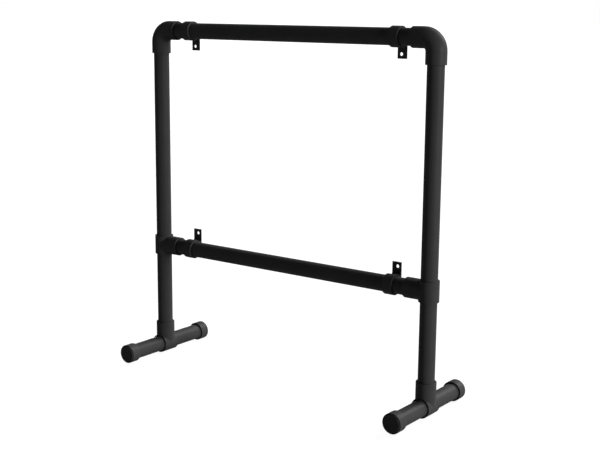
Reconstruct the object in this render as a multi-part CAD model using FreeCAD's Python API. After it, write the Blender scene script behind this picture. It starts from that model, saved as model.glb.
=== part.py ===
import FreeCAD, Part
import math
import os

# Freestanding frame of plastic pipe. Two posts stand on pipe feet, a top rail and a mid rail
# join them, and four slip-on clips behind the rails hold a panel by its corners.
# Millimetres, +Z up. X runs along the rails and Y along the feet, with -Y at the front.
# The origin lies on the floor, midway between the posts and midway along the feet.

# Pipe, nominal one inch
pipe_diameter = 33.4
pipe_wall = 3.4

# Frame, between pipe axes
post_spacing = 688.5
foot_to_top_rail = 705.5
foot_to_mid_rail = 229.5
foot_tube_length = 240.4

# Moulded fittings
socket_clearance = 0.15
socket_wall = 3.45
socket_depth = 24.2
corner_radius = 4.8
run_lip = 0.6
mouth_bevel = 0.8
rim_round = 0.4

# End caps
cap_grip = 17.3
cap_end_wall = 3.7
cap_edge_round = 0.4
cap_ledge = 2.1
cap_disc_height = 1.7
cap_disc_round = 0.4

# Panel clips
clip_gap = 24.35
clip_clearance = 0.1
clip_wall = 3.5
clip_width = 21.2
clip_rim_round = 0.3
tab_length = 21.5
tab_thickness = 2.0
tab_corner_round = 1.0
tab_web_radius = 4.0
tab_hole_diameter = 7.0
tab_hole_to_end = 8.8
tab_hole_offset = 1.8

# Radii of the pipe and of what slips over it
pipe_radius = pipe_diameter / 2
pipe_bore_radius = pipe_radius - pipe_wall
socket_radius = pipe_radius + socket_clearance
fitting_radius = socket_radius + socket_wall
ring_bore_radius = pipe_radius + clip_clearance
ring_radius = ring_bore_radius + clip_wall

# Distances from a fitting's centre: to where its pipes stop, to the mouths of its sockets,
# and to the ends of a tee's run
stop_distance = fitting_radius + corner_radius
fitting_reach = stop_distance + socket_depth
run_half_length = fitting_radius + run_lip

# Places in the frame
foot_height = fitting_radius
top_rail_height = foot_height + foot_to_top_rail
mid_rail_height = foot_height + foot_to_mid_rail
post_x = post_spacing / 2
clip_x = post_x - fitting_reach - clip_gap - clip_width / 2

CENTRE = FreeCAD.Vector(0, 0, 0)
X_AXIS = FreeCAD.Vector(1, 0, 0)
Y_AXIS = FreeCAD.Vector(0, 1, 0)
Z_AXIS = FreeCAD.Vector(0, 0, 1)


def line(start, end):
    """Straight edge between two points."""
    return Part.LineSegment(start, end).toShape()


def arc(centre, start, end):
    """Arc about a centre from one point to another, the short way round."""
    outward = (start - centre) + (end - centre)
    middle = centre + outward.normalize() * start.distanceToPoint(centre)
    return Part.Arc(start, middle, end).toShape()


def turned(outline):
    """Solid turned about Z from a closed outline of (radius, height) points.
    A point with a third value is a right-angled corner, rounded to that radius."""
    points = [FreeCAD.Vector(point[0], 0, point[1]) for point in outline]
    edges = []
    joins = []
    for index, here in enumerate(points):
        if len(outline[index]) == 3:
            rounding = outline[index][2]
            back = (points[index - 1] - here).normalize() * rounding
            on = (points[(index + 1) % len(points)] - here).normalize() * rounding
            edges.append(arc(here + back + on, here + back, here + on))
            joins.append((here + back, here + on))
        else:
            joins.append((here, here))
    for index, (arriving, _) in enumerate(joins):
        leaving = joins[index - 1][1]
        edges.append(line(leaving, arriving))
    section = Part.Wire(Part.sortEdges(edges)[0])
    return Part.Face(section).revolve(CENTRE, Z_AXIS, 360)


def aimed(shape, direction):
    """Copy of a shape built along +Z, swung about the centre to point another way."""
    copy = shape.copy()
    copy.Placement = FreeCAD.Placement(CENTRE, FreeCAD.Rotation(Z_AXIS, direction))
    return copy


def turned_about(shape, axis, angle):
    """Copy of a shape turned about an axis through the centre."""
    copy = shape.copy()
    copy.rotate(CENTRE, axis, angle)
    return copy


def moved(shape, x, y, z):
    """Copy of a shape moved to a place in the frame."""
    copy = shape.copy()
    copy.translate(FreeCAD.Vector(x, y, z))
    return copy


def pipe(length):
    """Plain cut pipe along Z, centred on its middle."""
    base = FreeCAD.Vector(0, 0, -length / 2)
    outside = Part.makeCylinder(pipe_radius, length, base)
    inside = Part.makeCylinder(pipe_bore_radius, length, base)
    return outside.cut(inside)


def leg(start, end):
    """Outside of a fitting's straight leg along Z, with a rounded rim at its mouth."""
    return turned([(0, start), (fitting_radius, start), (fitting_radius, end, rim_round), (0, end)])


def socket(start, end):
    """Bore for a pipe, from its stop to a mouth that is bevelled to let the pipe in."""
    return turned([
        (0, start),
        (socket_radius, start),
        (socket_radius, end - mouth_bevel),
        (socket_radius + mouth_bevel, end),
        (0, end),
    ])


def bend(radius):
    """Quarter bend of a round section, from +Z to +X about the fitting's centre."""
    start = FreeCAD.Vector(0, 0, stop_distance)
    pivot = FreeCAD.Vector(stop_distance, 0, stop_distance)
    section = Part.Wire(Part.makeCircle(radius, start, Z_AXIS))
    return Part.Face(section).revolve(pivot, -Y_AXIS, 90)


def elbow():
    """Elbow with its corner at the centre and sockets along +Z and +X."""
    body = bend(fitting_radius)
    passage = bend(pipe_bore_radius)
    for direction in (Z_AXIS, X_AXIS):
        body = body.fuse(aimed(leg(stop_distance, fitting_reach), direction))
        passage = passage.fuse(aimed(socket(stop_distance, fitting_reach), direction))
    return body.removeSplitter().cut(passage)


def tee():
    """Slip tee. Its run along X slides over a pipe that passes right through it, and its
    branch along +Z is a socket that stops its pipe just short of the run."""
    body = leg(0, fitting_reach)
    for direction in (X_AXIS, -X_AXIS):
        body = body.fuse(aimed(leg(0, run_half_length), direction))
    body = body.removeSplitter()
    for direction in (X_AXIS, -X_AXIS):
        body = body.cut(aimed(socket(0, run_half_length), direction))
    passage = Part.makeCylinder(pipe_bore_radius, stop_distance)
    return body.cut(passage).cut(socket(stop_distance, fitting_reach))


def cap():
    """End cap pointing along +Z, with its pipe's end at the centre. A low disc stands
    on its flat face."""
    disc_radius = fitting_radius - cap_edge_round - cap_ledge
    disc_top = cap_end_wall + cap_disc_height
    return turned([
        (0, 0),
        (socket_radius, 0),
        (socket_radius, mouth_bevel - cap_grip),
        (socket_radius + mouth_bevel, -cap_grip),
        (fitting_radius, -cap_grip, rim_round),
        (fitting_radius, cap_end_wall, cap_edge_round),
        (disc_radius, cap_end_wall),
        (disc_radius, disc_top, cap_disc_round),
        (0, disc_top),
    ])


def clip_ring():
    """Closed ring of a clip, around a rail along X."""
    half_width = clip_width / 2
    ring = turned([
        (ring_bore_radius, -half_width),
        (ring_radius, -half_width, clip_rim_round),
        (ring_radius, half_width, clip_rim_round),
        (ring_bore_radius, half_width),
    ])
    return aimed(ring, X_AXIS)


def clip_tab():
    """Flat tab of a clip. It leaves the ring in line with the ring's back, with a web that
    rounds into the ring in front of it, and its root lies inside the ring's wall."""
    half_width = clip_width / 2 - clip_rim_round
    face = ring_radius - tab_thickness
    end = -ring_radius - tab_length
    root_radius = (ring_bore_radius + ring_radius) / 2
    web_reach = ring_radius + tab_web_radius
    web_y = face - tab_web_radius
    web_z = -math.sqrt(web_reach ** 2 - web_y ** 2)

    # Side view, in the plane of the tab's -X side
    ring_centre = FreeCAD.Vector(-half_width, 0, 0)
    web_centre = FreeCAD.Vector(-half_width, web_y, web_z)
    web_on_ring = ring_centre + (web_centre - ring_centre) * (ring_radius / web_reach)
    web_on_tab = FreeCAD.Vector(-half_width, face, web_z)
    root_low = ring_centre + (web_centre - ring_centre) * (root_radius / web_reach)
    root_top = FreeCAD.Vector(-half_width, root_radius, 0)
    back_top = FreeCAD.Vector(-half_width, ring_radius, 0)
    back_end = FreeCAD.Vector(-half_width, ring_radius, end)
    face_end = FreeCAD.Vector(-half_width, face, end)
    side_view = Part.Wire([
        line(root_top, back_top),
        line(back_top, back_end),
        line(back_end, face_end),
        line(face_end, web_on_tab),
        arc(web_centre, web_on_tab, web_on_ring),
        line(web_on_ring, root_low),
        arc(ring_centre, root_low, root_top),
    ])
    tab = Part.Face(side_view).extrude(X_AXIS * (2 * half_width))

    # The end's two corners, and the hole
    end_edges = [edge for edge in tab.Edges if edge.BoundBox.ZMax < end + tab_corner_round]
    corners = [edge for edge in end_edges if edge.BoundBox.YLength > edge.BoundBox.XLength]
    tab = tab.makeFillet(tab_corner_round, corners)
    hole_start = FreeCAD.Vector(-tab_hole_offset, 0, end + tab_hole_to_end)
    hole = Part.makeCylinder(tab_hole_diameter / 2, 2 * ring_radius, hole_start, Y_AXIS)
    return tab.cut(hole)


def clip():
    """Panel clip on a rail along X through the centre, with its tab behind and hanging down."""
    return clip_ring().fuse(clip_tab())


def build():
    """Every piece of the frame in its place, by name."""
    pieces = {}
    half_foot = foot_tube_length / 2
    post_length = foot_to_top_rail - 2 * stop_distance
    post_middle = foot_height + foot_to_top_rail / 2
    rail_length = post_spacing - 2 * stop_distance
    corner = turned_about(elbow(), Y_AXIS, 90)
    for side, sign, facing in (("left", -1, 0), ("right", 1, 180)):
        x = sign * post_x

        # Foot along Y, with its tee at the middle
        pieces[side + "_foot_tube"] = moved(aimed(pipe(foot_tube_length), Y_AXIS), x, 0, foot_height)
        pieces[side + "_foot_tee"] = moved(turned_about(tee(), Z_AXIS, 90), x, 0, foot_height)
        for end, way in (("front", -1), ("rear", 1)):
            end_cap = aimed(cap(), Y_AXIS * way)
            pieces[side + "_" + end + "_cap"] = moved(end_cap, x, way * half_foot, foot_height)

        # Post, up through the mid tee to the elbow
        pieces[side + "_post"] = moved(pipe(post_length), x, 0, post_middle)
        pieces[side + "_mid_tee"] = moved(aimed(tee(), X_AXIS * -sign), x, 0, mid_rail_height)
        pieces[side + "_elbow"] = moved(turned_about(corner, Z_AXIS, facing), x, 0, top_rail_height)

    # Rails, each with a clip near both ends. The mid rail's clips are turned to point up.
    for rail, height, turn in (("top", top_rail_height, 0), ("mid", mid_rail_height, 180)):
        pieces[rail + "_rail"] = moved(aimed(pipe(rail_length), X_AXIS), 0, 0, height)
        for side, sign in (("left", -1), ("right", 1)):
            panel_clip = turned_about(clip(), Y_AXIS, turn)
            pieces[rail + "_" + side + "_clip"] = moved(panel_clip, sign * clip_x, 0, height)
    return pieces


os.makedirs("parts", exist_ok=True)
for name, shape in build().items():
    shape.exportStep("parts/" + name + ".step")
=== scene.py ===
import math

import bpy
from bpy.props import FloatProperty, FloatVectorProperty, PointerProperty
from mathutils import Matrix, Vector


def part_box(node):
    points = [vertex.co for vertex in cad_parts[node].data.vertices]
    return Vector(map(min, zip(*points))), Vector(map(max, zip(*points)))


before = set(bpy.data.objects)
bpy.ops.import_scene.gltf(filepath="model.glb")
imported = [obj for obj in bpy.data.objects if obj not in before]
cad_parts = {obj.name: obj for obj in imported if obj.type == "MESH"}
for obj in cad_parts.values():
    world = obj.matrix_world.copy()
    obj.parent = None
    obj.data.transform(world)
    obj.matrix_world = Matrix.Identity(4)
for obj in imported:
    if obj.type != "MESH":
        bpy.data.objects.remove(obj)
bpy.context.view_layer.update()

bl_info = {
    "name": "Freestanding tube frame",
    "version": (1, 0, 0),
    "blender": (4, 5, 0),
    "location": "3D View > Sidebar > Tube Frame",
    "description": "Finishes a freestanding frame of black plastic pipe and sets it on a pale stage",
    "category": "Object",
}

SIDES = ("left", "right")
RAILS = ("top", "mid")
X, Y, Z = range(3)
AXIS_WORDS = ("across", "front to back", "upright")

PLASTIC_IOR = 1.5
POLISH_ROUGHNESS = 0.42
NOISE_MIDDLE = 0.5
BLACK = (0.0, 0.0, 0.0)
WHITE = (1.0, 1.0, 1.0)


# Settings that a user would change

class PipeFinish(bpy.types.PropertyGroup):
    """Look of the drawn pipe."""
    colour: FloatVectorProperty(
        name="Colour", description="Colour of the pipe", subtype="COLOR", min=0, max=1,
        default=(0.039, 0.039, 0.039))
    worn_colour: FloatVectorProperty(
        name="Handled colour", description="Colour where hands have dulled it", subtype="COLOR",
        min=0, max=1, default=(0.047, 0.047, 0.047))
    roughness: FloatProperty(
        name="Roughness", description="How matt the pipe is", subtype="FACTOR", min=0, max=1,
        default=0.66)
    polish: FloatProperty(
        name="Polish", description="Strength of the thin polish over the pipe", subtype="FACTOR",
        min=0, max=1, default=0.08)
    line_spacing: FloatProperty(
        name="Draw line spacing", description="Distance between the faint lines that the die leaves",
        unit="LENGTH", default=0.0022)
    line_depth: FloatProperty(
        name="Draw line depth", description="Depth of those lines", unit="LENGTH", default=0.00003)


class MouldedFinish(bpy.types.PropertyGroup):
    """Look of the moulded fittings and clips."""
    colour: FloatVectorProperty(
        name="Fitting colour", description="Colour of the fittings", subtype="COLOR", min=0, max=1,
        default=(0.043, 0.043, 0.043))
    clip_colour: FloatVectorProperty(
        name="Clip colour", description="Colour of the clips", subtype="COLOR", min=0, max=1,
        default=(0.041, 0.041, 0.041))
    roughness: FloatProperty(
        name="Roughness", description="How matt the moulded faces are", subtype="FACTOR", min=0,
        max=1, default=0.70)
    polish: FloatProperty(
        name="Polish", description="Strength of the thin polish over the moulded faces",
        subtype="FACTOR", min=0, max=1, default=0.08)
    grain_size: FloatProperty(
        name="Grain size", description="Size of the mould's fine grain", unit="LENGTH",
        default=0.0007)
    grain_depth: FloatProperty(
        name="Grain depth", description="Depth of that grain", unit="LENGTH", default=0.00002)
    seam_width: FloatProperty(
        name="Seam width", description="Width of the line where the mould's halves met",
        unit="LENGTH", default=0.0005)
    seam_height: FloatProperty(
        name="Seam height", description="Height of that line", unit="LENGTH", default=0.00006)


class StageSettings(bpy.types.PropertyGroup):
    """Floor, lamps and camera. A lamp's value is what a white surface that faces it shows."""
    floor_colour: FloatVectorProperty(
        name="Floor colour", description="Colour of the floor", subtype="COLOR", min=0, max=1,
        default=(0.15, 0.15, 0.15))
    floor_lift: FloatProperty(
        name="Floor lift", description="How far the floor is lifted towards white where it is seen",
        min=0, max=1, default=0.93)
    floor_radius: FloatProperty(
        name="Floor radius", description="Radius of the floor", unit="LENGTH", default=60.0)
    surround: FloatProperty(
        name="Surround", description="Light that comes evenly from all round", min=0, max=1,
        default=0.0)
    key_lamp: FloatProperty(
        name="Key lamp", description="Light from behind, above and a little to the right",
        min=0, default=1.02)
    top_lamp: FloatProperty(
        name="Top lamp", description="Light from straight behind and high up",
        min=0, default=0.40)
    right_lamp: FloatProperty(
        name="Right lamp", description="Light from the right, a little above the floor",
        min=0, default=0.88)
    left_lamp: FloatProperty(
        name="Left lamp", description="Light from the left and behind, a little above the floor",
        min=0, default=0.70)
    lens: FloatProperty(
        name="Lens", description="Focal length of the camera", unit="CAMERA", default=67.487)


class TubeFrameSettings(bpy.types.PropertyGroup):
    """All settings of the frame and its stage."""
    pipe: PointerProperty(type=PipeFinish)
    moulded: PointerProperty(type=MouldedFinish)
    stage: PointerProperty(type=StageSettings)


# Shader building

class Wire:
    """One output of a shader node. Sums written on it add Math nodes."""

    def __init__(self, shader, socket):
        self.shader = shader
        self.socket = socket

    def maths(self, operation, first, second=0.0):
        """Value of a Math node on two numbers or wires."""
        values = {"Value": first, "Value_001": second}
        return self.shader.add("ShaderNodeMath", {"operation": operation}, values)["Value"]

    def __add__(self, other):
        return self.maths("ADD", self, other)

    def __radd__(self, other):
        return self.maths("ADD", other, self)

    def __sub__(self, other):
        return self.maths("SUBTRACT", self, other)

    def __rsub__(self, other):
        return self.maths("SUBTRACT", other, self)

    def __mul__(self, other):
        return self.maths("MULTIPLY", self, other)

    def __rmul__(self, other):
        return self.maths("MULTIPLY", other, self)

    def __truediv__(self, other):
        return self.maths("DIVIDE", self, other)

    def __abs__(self):
        return self.maths("ABSOLUTE", self)

    def above(self, floor):
        """The value, or the floor where it is less."""
        return self.maths("MAXIMUM", self, floor)


class Shader:
    """The node tree of a material or the world, built from empty."""

    def __init__(self, owner):
        owner.use_nodes = True
        self.tree = owner.node_tree
        self.tree.nodes.clear()

    def add(self, kind, settings=None, sockets=None):
        """Adds a node with its settings, feeds its sockets, and returns its outputs by identifier."""
        node = self.tree.nodes.new(kind)
        for name, setting in (settings or {}).items():
            setattr(node, name, setting)
        inputs = {socket.identifier: socket for socket in node.inputs}
        for name, value in (sockets or {}).items():
            if isinstance(value, Wire):
                self.tree.links.new(value.socket, inputs[name])
            else:
                inputs[name].default_value = value
        return {socket.identifier: Wire(self, socket) for socket in node.outputs}

    def noise(self, place, size, detail):
        """Cloudy values about 0.5, with patches of about a given size in metres."""
        sockets = {"Vector": place, "Scale": 1 / size, "Detail": detail}
        return self.add("ShaderNodeTexNoise", None, sockets)["Fac"]

    def scaled(self, vector, factors):
        """A vector with each part multiplied by its own factor."""
        sockets = {"Vector": vector, "Vector_001": factors}
        return self.add("ShaderNodeVectorMath", {"operation": "MULTIPLY"}, sockets)["Vector"]

    def mixed(self, share, first, second):
        """Colour between two colours."""
        sockets = {"Factor_Float": share, "A_Color": opaque(first), "B_Color": opaque(second)}
        return self.add("ShaderNodeMix", {"data_type": "RGBA"}, sockets)["Result_Color"]

    def bumped(self, height, depth):
        """Normal of a surface whose height, from 0 to 1, is worth a given depth in metres."""
        sockets = {"Height": height, "Distance": depth, "Strength": 1.0}
        return self.add("ShaderNodeBump", None, sockets)["Normal"]

    def seen(self):
        """1 for rays from the camera and for those that a gloss or a clear body sends on."""
        path = self.add("ShaderNodeLightPath")
        return path["Is Camera Ray"] + path["Is Glossy Ray"] + path["Is Transmission Ray"]


def opaque(colour):
    """Colour with full alpha."""
    return (*colour, 1.0)


def matt_plastic(shader, colour, roughness, polish, normal):
    """Finishes a shader as matt plastic under a thin dull polish, which alone mirrors anything."""
    body = shader.add("ShaderNodeBsdfPrincipled", None, {
        "Base Color": colour,
        "Roughness": roughness,
        "Normal": normal,
        "IOR": PLASTIC_IOR,
        "Specular IOR Level": 0.0,
        "Coat Weight": polish,
        "Coat Roughness": POLISH_ROUGHNESS,
    })["BSDF"]
    shader.add("ShaderNodeOutputMaterial", None, {"Surface": body})


def drawn_plastic(finish, along):
    """Black plastic drawn out as pipe along one axis, with faint lines that way."""
    cloud_size = 0.035
    peel_size = 0.0011
    lines_in_band = 5
    squeeze_along = 0.012
    material = bpy.data.materials.new("Drawn plastic, " + AXIS_WORDS[along])
    shader = Shader(material)
    place = shader.add("ShaderNodeTexCoord")["Object"]
    squeeze = [1.0, 1.0, 1.0]
    squeeze[along] = squeeze_along
    drawn = shader.scaled(place, squeeze)
    lines = shader.noise(drawn, finish.line_spacing, detail=2.0)
    bands = shader.noise(drawn, lines_in_band * finish.line_spacing, detail=1.0)
    clouds = shader.noise(place, cloud_size, detail=3.0)
    peel = shader.noise(place, peel_size, detail=2.0)

    # Colour, where hands have dulled it in patches and along the lines
    cloud_share, band_share, line_share = 0.9, 0.5, 0.4
    untouched = 0.4
    handled = cloud_share * clouds + band_share * bands + line_share * lines - untouched
    colour = shader.mixed(handled, finish.colour, finish.worn_colour)

    # Roughness and polish, each with its swing from patch to patch and from line to line
    patch = clouds - NOISE_MIDDLE
    line = lines - NOISE_MIDDLE
    rough_patches, rough_lines = 0.16, 0.12
    polish_patches, polish_lines = 0.5, 0.4
    roughness = finish.roughness + rough_patches * patch + rough_lines * line
    polish = finish.polish * (1.0 + polish_patches * patch + polish_lines * line)

    # Height, mostly of the lines, with a little unevenness between them
    peel_part = 0.25
    height = (1.0 - peel_part) * lines + peel_part * peel
    matt_plastic(shader, colour, roughness, polish, shader.bumped(height, finish.line_depth))
    return material


def moulded_plastic(finish, name, colour, seam_axis=None, seam_place=0.0):
    """Black moulded plastic with a fine grain. A fitting also shows the thin line where its
    mould's halves met, in a plane square to an axis."""
    cloud_size = 0.022
    flow_size = 0.009
    flow_squeeze = (1.0, 1.0, 0.35)
    material = bpy.data.materials.new(name)
    shader = Shader(material)
    place = shader.add("ShaderNodeTexCoord")["Object"]
    clouds = shader.noise(place, cloud_size, detail=3.0)
    flow = shader.noise(shader.scaled(place, flow_squeeze), flow_size, detail=2.0)
    grain = shader.noise(place, finish.grain_size, detail=2.0)

    # Colour, from a little darker to a little lighter where the melt flowed
    cloud_share, flow_share = 0.7, 0.3
    darkest, lightest = 0.9, 1.16
    shade = cloud_share * clouds + flow_share * flow
    dark = [darkest * part for part in colour]
    light = [lightest * part for part in colour]

    # Roughness and polish, each with its swing from patch to patch or from grain to grain
    patch = clouds - NOISE_MIDDLE
    rough_patches, rough_grain, polish_patches = 0.14, 0.10, 0.5
    roughness = finish.roughness + rough_patches * patch + rough_grain * (grain - NOISE_MIDDLE)
    polish = finish.polish * (1.0 + polish_patches * patch)
    normal = shader.bumped(grain, finish.grain_depth)

    # The mould's line, a little lighter and smoother, and raised over the grain
    if seam_axis is not None:
        seam_lightness, seam_smoothness = 0.5, 0.12
        parts = shader.add("ShaderNodeSeparateXYZ", None, {"Vector": place})
        away = abs(parts["XYZ"[seam_axis]] - seam_place)
        seam = (1.0 - away / (finish.seam_width / 2)).above(0.0)
        shade = shade + seam_lightness * seam
        roughness = roughness - seam_smoothness * seam
        height = (grain * finish.grain_depth + seam * finish.seam_height) / finish.seam_height
        normal = shader.bumped(height, finish.seam_height)
    matt_plastic(shader, shader.mixed(shade, dark, light), roughness, polish, normal)
    return material


def dress(nodes, material):
    """Gives CAD nodes their material."""
    for node in nodes:
        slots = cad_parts[node].data.materials
        slots.clear()
        slots.append(material)


def settings():
    """The frame's settings in this scene."""
    return bpy.context.scene.tube_frame


def centre(node, axis):
    """Middle of a node along an axis."""
    low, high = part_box(node)
    return (low[axis] + high[axis]) / 2


# Finishes of the pieces

class FinishPosts(bpy.types.Operator):
    """Give the posts their drawn plastic, with its lines running up"""
    bl_idname = "tube_frame.finish_posts"
    bl_label = "Finish posts"

    def execute(self, context):
        dress([side + "_post" for side in SIDES], drawn_plastic(settings().pipe, Z))
        return {"FINISHED"}


class FinishRails(bpy.types.Operator):
    """Give the rails their drawn plastic, with its lines running across"""
    bl_idname = "tube_frame.finish_rails"
    bl_label = "Finish rails"

    def execute(self, context):
        dress([rail + "_rail" for rail in RAILS], drawn_plastic(settings().pipe, X))
        return {"FINISHED"}


class FinishFeet(bpy.types.Operator):
    """Give the foot tubes their drawn plastic, with its lines running front to back"""
    bl_idname = "tube_frame.finish_feet"
    bl_label = "Finish foot tubes"

    def execute(self, context):
        dress([side + "_foot_tube" for side in SIDES], drawn_plastic(settings().pipe, Y))
        return {"FINISHED"}


class FinishElbows(bpy.types.Operator):
    """Give the elbows their moulded plastic, with the mould's line round their outer and inner bends"""
    bl_idname = "tube_frame.finish_elbows"
    bl_label = "Finish elbows"

    def execute(self, context):
        finish = settings().moulded
        for side in SIDES:
            node = side + "_elbow"
            name = "Moulded plastic, " + side + " elbow"
            dress([node], moulded_plastic(finish, name, finish.colour, Y, centre(node, Y)))
        return {"FINISHED"}


class FinishTees(bpy.types.Operator):
    """Give the tees their moulded plastic, with the mould's line in the plane of run and branch"""
    bl_idname = "tube_frame.finish_tees"
    bl_label = "Finish tees"

    def execute(self, context):
        finish = settings().moulded
        for side in SIDES:
            for kind, axis in (("mid", Y), ("foot", X)):
                node = side + "_" + kind + "_tee"
                name = "Moulded plastic, " + side + " " + kind + " tee"
                dress([node], moulded_plastic(finish, name, finish.colour, axis, centre(node, axis)))
        return {"FINISHED"}


class FinishCaps(bpy.types.Operator):
    """Give the end caps their moulded plastic"""
    bl_idname = "tube_frame.finish_caps"
    bl_label = "Finish end caps"

    def execute(self, context):
        finish = settings().moulded
        caps = [side + "_" + end + "_cap" for side in SIDES for end in ("front", "rear")]
        dress(caps, moulded_plastic(finish, "Moulded plastic, caps", finish.colour))
        return {"FINISHED"}


class FinishClips(bpy.types.Operator):
    """Give the panel clips their moulded plastic"""
    bl_idname = "tube_frame.finish_clips"
    bl_label = "Finish clips"

    def execute(self, context):
        finish = settings().moulded
        clips = [rail + "_" + side + "_clip" for rail in RAILS for side in SIDES]
        dress(clips, moulded_plastic(finish, "Moulded plastic, clips", finish.clip_colour))
        return {"FINISHED"}


# Stage

def make_floor(stage):
    """Pale round floor under the feet. It is lifted towards white where it is seen, and keeps
    the shadow of what stands on it."""
    corners = 96
    roughness = 0.9
    gloss = 0.1
    ring = [
        (stage.floor_radius * math.cos(angle), stage.floor_radius * math.sin(angle), 0.0)
        for angle in (math.tau * step / corners for step in range(corners))
    ]
    mesh = bpy.data.meshes.new("floor")
    mesh.from_pydata(ring, [], [range(corners)])
    floor = bpy.data.objects.new("floor", mesh)
    bpy.context.scene.collection.objects.link(floor)

    material = bpy.data.materials.new("Pale floor")
    shader = Shader(material)
    body = shader.add("ShaderNodeBsdfPrincipled", None, {
        "Base Color": opaque(stage.floor_colour),
        "Roughness": roughness,
        "Specular IOR Level": gloss,
        "Emission Color": shader.mixed(shader.seen(), BLACK, WHITE),
        "Emission Strength": stage.floor_lift,
    })["BSDF"]
    shader.add("ShaderNodeOutputMaterial", None, {"Surface": body})
    mesh.materials.append(material)


def make_surround(stage):
    """World that is white where it is seen, and sheds only the light that is set for it."""
    world = bpy.data.worlds.new("Surround")
    bpy.context.scene.world = world
    shader = Shader(world)
    white = opaque(WHITE)
    shed = shader.add("ShaderNodeBackground", None, {"Color": white, "Strength": stage.surround})
    shown = shader.add("ShaderNodeBackground", None, {"Color": white, "Strength": 1.0})
    both = shader.add("ShaderNodeMixShader", None, {
        "Fac": shader.seen(),
        "Shader": shed["Background"],
        "Shader_001": shown["Background"],
    })["Shader"]
    shader.add("ShaderNodeOutputWorld", None, {"Surface": both})


def make_lamp(name, towards, level, spread):
    """Broad far lamp in a direction from the frame, with its level and its width in degrees."""
    lamp = bpy.data.lights.new(name, "SUN")
    lamp.energy = level * math.pi
    lamp.angle = math.radians(spread)
    thing = bpy.data.objects.new(name, lamp)
    thing.rotation_euler = Vector(towards).to_track_quat("Z", "Y").to_euler()
    thing.visible_camera = False
    bpy.context.scene.collection.objects.link(thing)


def make_camera(stage):
    """Camera in front of the frame and to its right, a little higher than its top."""
    place = Vector((1.3846, -1.8156, 0.7808))
    turn = math.radians(36.58)
    dip = math.radians(11.035)
    tilt = math.radians(0.5)
    sensor_width = 36.0
    camera = bpy.data.cameras.new("camera")
    camera.sensor_width = sensor_width
    camera.lens = stage.lens
    thing = bpy.data.objects.new("camera", camera)
    thing.matrix_world = (
        Matrix.Translation(place)
        @ Matrix.Rotation(turn, 4, "Z")
        @ Matrix.Rotation(math.pi / 2 - dip, 4, "X")
        @ Matrix.Rotation(tilt, 4, "Z")
    )
    bpy.context.scene.collection.objects.link(thing)
    bpy.context.scene.camera = thing


class BuildStage(bpy.types.Operator):
    """Set the frame on a pale floor, under soft lamps, before the camera"""
    bl_idname = "tube_frame.build_stage"
    bl_label = "Build stage"

    def execute(self, context):
        stage = settings().stage
        context.scene.view_settings.view_transform = "Standard"
        make_floor(stage)
        make_surround(stage)
        make_lamp("key_lamp", towards=(0.29, 0.79, 0.54), level=stage.key_lamp, spread=25)
        make_lamp("top_lamp", towards=(0.0, 0.75, 0.66), level=stage.top_lamp, spread=30)
        make_lamp("right_lamp", towards=(1.0, 0.0, 0.12), level=stage.right_lamp, spread=14)
        make_lamp("left_lamp", towards=(-0.80, 0.58, 0.08), level=stage.left_lamp, spread=20)
        make_camera(stage)
        return {"FINISHED"}


# Sidebar

OPERATORS = (
    FinishPosts, FinishRails, FinishFeet, FinishElbows, FinishTees, FinishCaps, FinishClips, BuildStage,
)


class TubeFramePanel(bpy.types.Panel):
    """Settings of the frame and the steps that finish it"""
    bl_idname = "VIEW3D_PT_tube_frame"
    bl_label = "Tube Frame"
    bl_space_type = "VIEW_3D"
    bl_region_type = "UI"
    bl_category = "Tube Frame"

    def draw(self, context):
        for group in (settings().pipe, settings().moulded, settings().stage):
            box = self.layout.box()
            for name in group.__annotations__:
                box.prop(group, name)
        for operator in OPERATORS:
            self.layout.operator(operator.bl_idname)


CLASSES = (PipeFinish, MouldedFinish, StageSettings, TubeFrameSettings, *OPERATORS, TubeFramePanel)


def register():
    """Adds the settings, the operators and the panel."""
    for kind in CLASSES:
        bpy.utils.register_class(kind)
    bpy.types.Scene.tube_frame = PointerProperty(type=TubeFrameSettings)


def unregister():
    """Takes them away again."""
    del bpy.types.Scene.tube_frame
    for kind in reversed(CLASSES):
        bpy.utils.unregister_class(kind)


def main():
    """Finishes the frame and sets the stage."""
    register()
    bpy.ops.tube_frame.finish_posts()
    bpy.ops.tube_frame.finish_rails()
    bpy.ops.tube_frame.finish_feet()
    bpy.ops.tube_frame.finish_elbows()
    bpy.ops.tube_frame.finish_tees()
    bpy.ops.tube_frame.finish_caps()
    bpy.ops.tube_frame.finish_clips()
    bpy.ops.tube_frame.build_stage()


if __name__ == "__main__":
    main()
